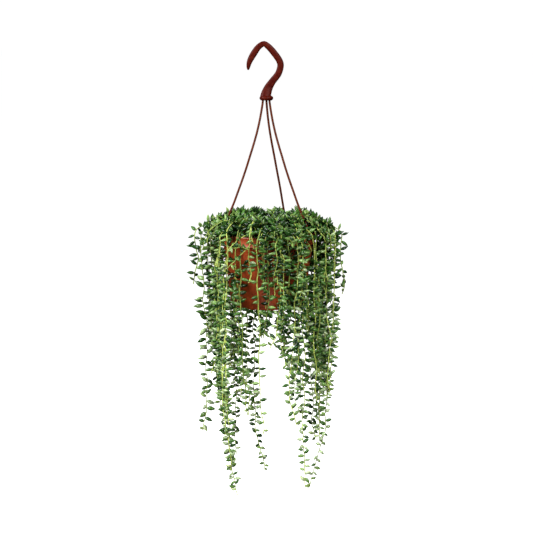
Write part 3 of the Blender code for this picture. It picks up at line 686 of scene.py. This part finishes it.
def addLeaves(bm, points, chance, start, tone, ageStart=0.0, size=1.0, pitch=1.0, youngEnd=20.0, bald=None):
    # two ranks of leaves along a line, smaller and paler near its end where they are young, painted paler the
    # lower they hang (painted light), and few in the bald stretch
    step = (points[1] - points[0]).length
    whole = (len(points) - 1) * step
    travelled, side = start, chance.choice((-1, 1))
    twist = chance.uniform(0, math.tau)
    while travelled < whole - step:
        i = int(travelled / step)
        ahead = (points[i + 1] - points[i]).normalized()
        at = points[i].lerp(points[i + 1], travelled / step - i)
        outward = Vector((at.x - potAxis.x, at.y - potAxis.y, 0))
        outward = outward.normalized() if outward.length > 1 else Vector((0, -1, 0))
        hanging = max(0.0, min(1.0, -1.5 * ahead.z - 0.3))
        free = max(0.0, min(1.0, (rimZ - leaves["freeFrom"] - at.z) / leaves["freeOver"]))
        # the ranks follow the pot's side, turn slowly, and spread to left and right where the stem hangs
        plane = math.atan2(outward.x, -outward.y)
        facing = max((0.6 + 0.3 * free) * hanging, 0.5 * ahead.z)
        plane -= facing * ((plane + math.pi / 2) % math.pi - math.pi / 2)
        plane += (0.75 - 0.4 * free) * math.sin(travelled / leaves["turnOver"] + twist)
        plane += (0.75 - 0.35 * free) * chance.uniform(-1, 1)
        rank = Vector((math.cos(plane), math.sin(plane), 0))
        rank = (rank - ahead * rank.dot(ahead)).normalized()
        lift = chance.uniform(0.05 - (0.65 + 0.35 * free) * hanging, 1.15 - (0.45 - 0.2 * free) * hanging)
        direction = (rank * side * math.cos(lift) + up * math.sin(lift)).normalized()
        left = whole - travelled
        young = min(1.0, 0.5 + left / youngEnd)
        low = ageStart + (1 - ageStart) * min(1, travelled / leaves["lowAfter"])
        vary = size * chance.uniform(*leaves["sizeSpread"])
        length, girth = [vary * (a + (b - a) * low) for a, b in zip(leaves["old"], leaves["low"])]
        tip = at + direction * (length * young + 1)
        if (tip - potAxis).xy.length < wallRadius(tip.z) + 1:  # a leaf beside the pot turns away from it
            direction = direction - 2 * outward * min(0.0, direction.dot(outward))
        # leaves lower down the stem are painted paler: painted light, for hanging strands that catch more
        # light than the shaded crown
        leafTone = tone - leaves["darker"] + leaves["lowPaintedLight"] * low + chance.uniform(*leaves["toneSpread"])
        age = min(0.8, ageStart + (1 - ageStart) * travelled / whole)
        if left < youngEnd:
            age = max(age, 1 - 0.22 * left / youngEnd)
        roll = chance.uniform(-leaves["roll"], leaves["roll"])
        if not bald or not bald[0] < rimZ - at.z < bald[1] or chance.random() < leaves["baldLeaf"]:
            addLeaf(bm, at + direction * 0.6, direction, length * young, girth * young ** 0.8,
                    max(0.0, min(1.0, leafTone)), age, roll)
        side = side if chance.random() < leaves["sameSide"] else -side
        travelled += leaves["pitch"] * pitch * (0.7 + 0.3 * young) * chance.uniform(*leaves["pitchSpread"])


def newPlantMesh():
    bm = bmesh.new()
    for layer in ("tone", "along", "window"):
        bm.verts.layers.float.new(layer)
    return bm


def addShoot(bm, line, chance, tone, seed, pitch=1.0, youngEnd=16.0, thick=plant["shoot"]):
    branch = wandering(smoothLine(line, plant["ringPitch"]), 0.8 * plant["wander"], seed)
    stemTone = 0.95 if thick > plant["shoot"] else chance.uniform(0.1, 0.9)
    addStem(bm, branch, thick, plant["shootTip"], stemTone, sideShoots["age"])
    addLeaves(bm, branch, chance, sideShoots["firstLeaf"], tone, sideShoots["age"], sideShoots["leafSize"],
              sideShoots["leafPitch"] * pitch, youngEnd)


def addSideShoot(bm, main, startIndex, steps, spread, proud, chance, tone, seed, pitch=1.0,
                 thick=plant["shoot"]):
    # a branch that leaves its stem slowly and then runs beside it
    line = []
    turn = chance.choice((-1, 1))
    for j, point in enumerate(main[startIndex:startIndex + max(5, steps)]):
        outward = Vector((point.x - potAxis.x, point.y - potAxis.y, 0)).normalized()
        away = min(1.0, j * plant["ringPitch"] / sideShoots["parting"])
        away = away * away * (3 - 2 * away)
        line.append(point + (up.cross(outward) * turn * spread + outward * proud) * away)
    addShoot(bm, line, chance, tone, seed, pitch, thick=thick)


def addRisingShoot(bm, main, startIndex, height, lean, chance, tone, seed):
    at = main[startIndex]
    outward = Vector((at.x - potAxis.x, at.y - potAxis.y, 0)).normalized()
    way = Matrix.Rotation(chance.uniform(-0.9, 0.9), 3, "Z") @ outward
    addShoot(bm, [at, at + way * 0.3 * lean + up * 0.45 * height, at + way * lean + up * height],
             chance, tone, seed, rimShoots["risePitch"], rimShoots["riseYoungEnd"])


def makeTrailingStem(number, azimuth, reach, drop, drift, shoots):
    chance = random.Random(300 + number)
    bm = newPlantMesh()
    swirl = chance.uniform(-1, 1) * plant["swirl"]
    route = stemRoute(azimuth, reach, drop, drift, plant["roots"][(number - 1) % 3], swirl)
    main = wandering(smoothLine(route, plant["ringPitch"]), plant["wander"], number)
    tone = chance.uniform(0.25, 0.5)
    addStem(bm, main, plant["stemTop"], plant["stemTip"], 0.9 * (number * 0.37 % 1))
    outer = reach > plant["outerReach"]
    addLeaves(bm, main, chance, leaves["firstAtOuter" if outer else "firstAt"], tone, 0.0,
              leafScale.get(number, 1.0), sparse.get(number, 1.0), bald=leafless.get(number))
    rimIndex = next(i for i, p in enumerate(main) if (p - potAxis).xy.length > plant["rimReach"])
    tight = number in bundles
    below = len(main) - rimIndex
    first, last = sideShoots["from"]
    if number in leafless:
        first = sideShoots["fromUnderRim"]
    for k in range(shoots):
        startIndex = int(rimIndex + chance.uniform(first, last) * below)
        steps = min(int(chance.uniform(*sideShoots["rings"])), int(0.92 * (len(main) - startIndex)))
        spread = chance.uniform(*(bundled if tight else sideShoots)["spread"])
        addSideShoot(bm, main, startIndex, steps, spread, chance.uniform(*sideShoots["proud"]), chance, tone,
                     number + 50 * (k + 1), bundled["pitch"] if tight else 1.0,
                     bundled["thick"] if tight else plant["shoot"])
    bare = number in bareRim or outer
    near = rimShoots
    for k in range(0 if bare else near["drooping"]):  # short shoots that droop over the rim
        startIndex = rimIndex - chance.randint(*near["droopFrom"])
        droop = chance.randint(*near["droopRings"])
        addSideShoot(bm, main, startIndex, rimIndex - startIndex + 5 + droop,
                     chance.uniform(*near["droopSpread"]), chance.uniform(*near["droopProud"]), chance, tone,
                     number + 300 + 50 * k, near["droopPitch"])
    tilt = -7 * math.sin(math.radians(azimuth))  # the front of the crown stands a little higher than its back
    for k in range(near["risingWhereBare"] if bare else near["rising"]):  # and ones that rise from the arch
        startIndex = rimIndex - chance.randint(*near["riseFrom"])
        height = rimZ + chance.uniform(*near["riseHeight"]) + tilt - main[startIndex].z
        lean = chance.uniform(*near["riseLean"])
        addRisingShoot(bm, main, startIndex, max(near["riseLeast"], height), lean, chance, tone,
                       number + 500 + 50 * k)
    for line in crossings.get(number, []):
        addShoot(bm, [Vector((x, y, rimZ + z)) for x, y, z in line], chance, tone, number + 700, 1.5)
    name = f"trailing_stem_{number:02d}"
    finishPiece(name + "_plant", bm, [stemSkin, leafSkin], [name])


def makeCrown(number):  # short shoots that stand up over one sixth of the soil
    size = {"shoots": 17, "radius": 64, "leafSize": 1.2, "leafPitch": 1.05}
    chance = random.Random(900 + number)
    bm = newPlantMesh()
    for k in range(size["shoots"]):
        azimuth = (number - 1) * 60 + chance.uniform(0, 60)
        reach = size["radius"] * math.sqrt((k + 0.5) / size["shoots"])
        share = reach / size["radius"]
        height = chance.uniform(3 + 8 * share, 14 + 5 * share) - 7 * share * math.sin(math.radians(azimuth))
        lean = chance.uniform(3, 11) + 9 * share ** 3
        turn = azimuth + chance.uniform(-50, 50)
        foot = around(potAxis, azimuth, reach, soilTop + 0.3)
        line = [foot, foot + up * 4, around(foot, turn, 0.35 * lean, foot.z + 0.6 * (height + 10)),
                around(foot, turn, lean, foot.z + height + 10)]
        shoot = wandering(smoothLine(line, 2.5), 1.0, number * 20 + k)
        addStem(bm, shoot, 0.75, 0.5, chance.uniform(0.3, 0.9), 0.3)
        # the crown's leaves take a darker tone range than the trailing stems: painted shade for the crowded
        # crown
        addLeaves(bm, shoot, chance, 8, chance.uniform(0.0, 0.4), 0.0, size["leafSize"], size["leafPitch"],
                  youngEnd=9.0)
    name = f"crown_shoot_{number}"
    finishPiece(name + "_plant", bm, [stemSkin, leafSkin], [name])


for number, stem in enumerate(frontStems + backStems, 1):
    makeTrailingStem(number, *stem)
print("trailing stems made")
for number in range(1, 7):
    makeCrown(number)
print("crown made,", leafCount, "leaves in all")


# Stage, light and camera

def makeStage():
    stage = {"floorZ": -0.80, "size": 200.0, "colour": "f2f2f0", "glow": 0.96}
    bm = bmesh.new()
    bmesh.ops.create_grid(bm, x_segments=4, y_segments=4, size=stage["size"],
                          matrix=Matrix.Translation((0, 0, stage["floorZ"])))
    mesh = bpy.data.meshes.new("studio_floor")
    bm.to_mesh(mesh)
    bm.free()
    # opal acrylic lit from below: even, and shadows stay faint
    made, _, shader = newMaterial("backlitAcrylicFloor")
    shader.inputs["Base Color"].default_value = hexColour(stage["colour"])
    shader.inputs["Roughness"].default_value = 0.9
    shader.inputs["Specular IOR Level"].default_value = 0.1
    shader.inputs["Emission Color"].default_value = (1, 1, 1, 1)
    shader.inputs["Emission Strength"].default_value = stage["glow"]
    mesh.materials.append(made)
    floor = bpy.data.objects.new("studio_floor", mesh)
    bpy.context.scene.collection.objects.link(floor)
    floor.visible_diffuse = False
    floor.visible_glossy = False


def aim(item, place, target):
    item.location = place
    item.rotation_euler = (Vector(target) - Vector(place)).to_track_quat("-Z", "Y").to_euler()


def makeLights():
    glow = {"backdrop": 1.02, "room": 0.05}
    world = bpy.data.worlds.new("studio")
    world.use_nodes = True
    tree = world.node_tree
    background = tree.nodes["Background"]
    background.inputs["Color"].default_value = (1, 1, 1, 1)
    # the backdrop behind the plant is white, and the room round it much darker
    seen = addNode(tree, "ShaderNodeLightPath")
    strength = addNode(tree, "ShaderNodeMapRange", {"To Min": glow["room"], "To Max": glow["backdrop"]},
                       {"Value": seen.outputs["Is Camera Ray"]})
    tree.links.new(strength.outputs["Result"], background.inputs["Strength"])
    bpy.context.scene.world = world
    lamps = [  # name, place, width, power, whether surfaces mirror it
        ("key", (1.0, -1.5, 1.3), 0.7, 68, True),
        ("fill", (-1.7, -0.9, 0.7), 0.8, 74, True),
        ("bounce", (0.2, -1.5, -1.1), 1.2, 26, False),
        ("top", (-0.2, 0.1, 1.4), 0.9, 12, False),
        ("back", (-0.6, 2.0, 0.6), 1.0, 28, False),
    ]
    for name, place, width, power, mirrored in lamps:
        data = bpy.data.lights.new(name, "AREA")
        data.shape = "SQUARE"
        data.size = width
        data.energy = power
        lamp = bpy.data.objects.new(name, data)
        bpy.context.scene.collection.objects.link(lamp)
        lamp.visible_glossy = mirrored
        aim(lamp, place, (0.007, 0, -0.35))


def makeCamera():
    view = {"distance": 2.2, "tilt": math.radians(8.5), "target": (0.00481, 0.0, -0.32422),
            "mmPerPixel": 1.49, "imageWidth": 533}
    data = bpy.data.cameras.new("photoView")
    data.sensor_width = 36
    data.lens = view["distance"] / mm / view["mmPerPixel"] / view["imageWidth"] * data.sensor_width
    camera = bpy.data.objects.new("photoView", data)
    bpy.context.scene.collection.objects.link(camera)
    x, y, z = view["target"]
    place = (x, y - view["distance"] * math.cos(view["tilt"]), z + view["distance"] * math.sin(view["tilt"]))
    aim(camera, place, view["target"])
    bpy.context.scene.camera = camera


makeStage()
makeLights()
makeCamera()
bpy.context.scene.view_settings.view_transform = "Standard"
print("stage, lights and camera set")
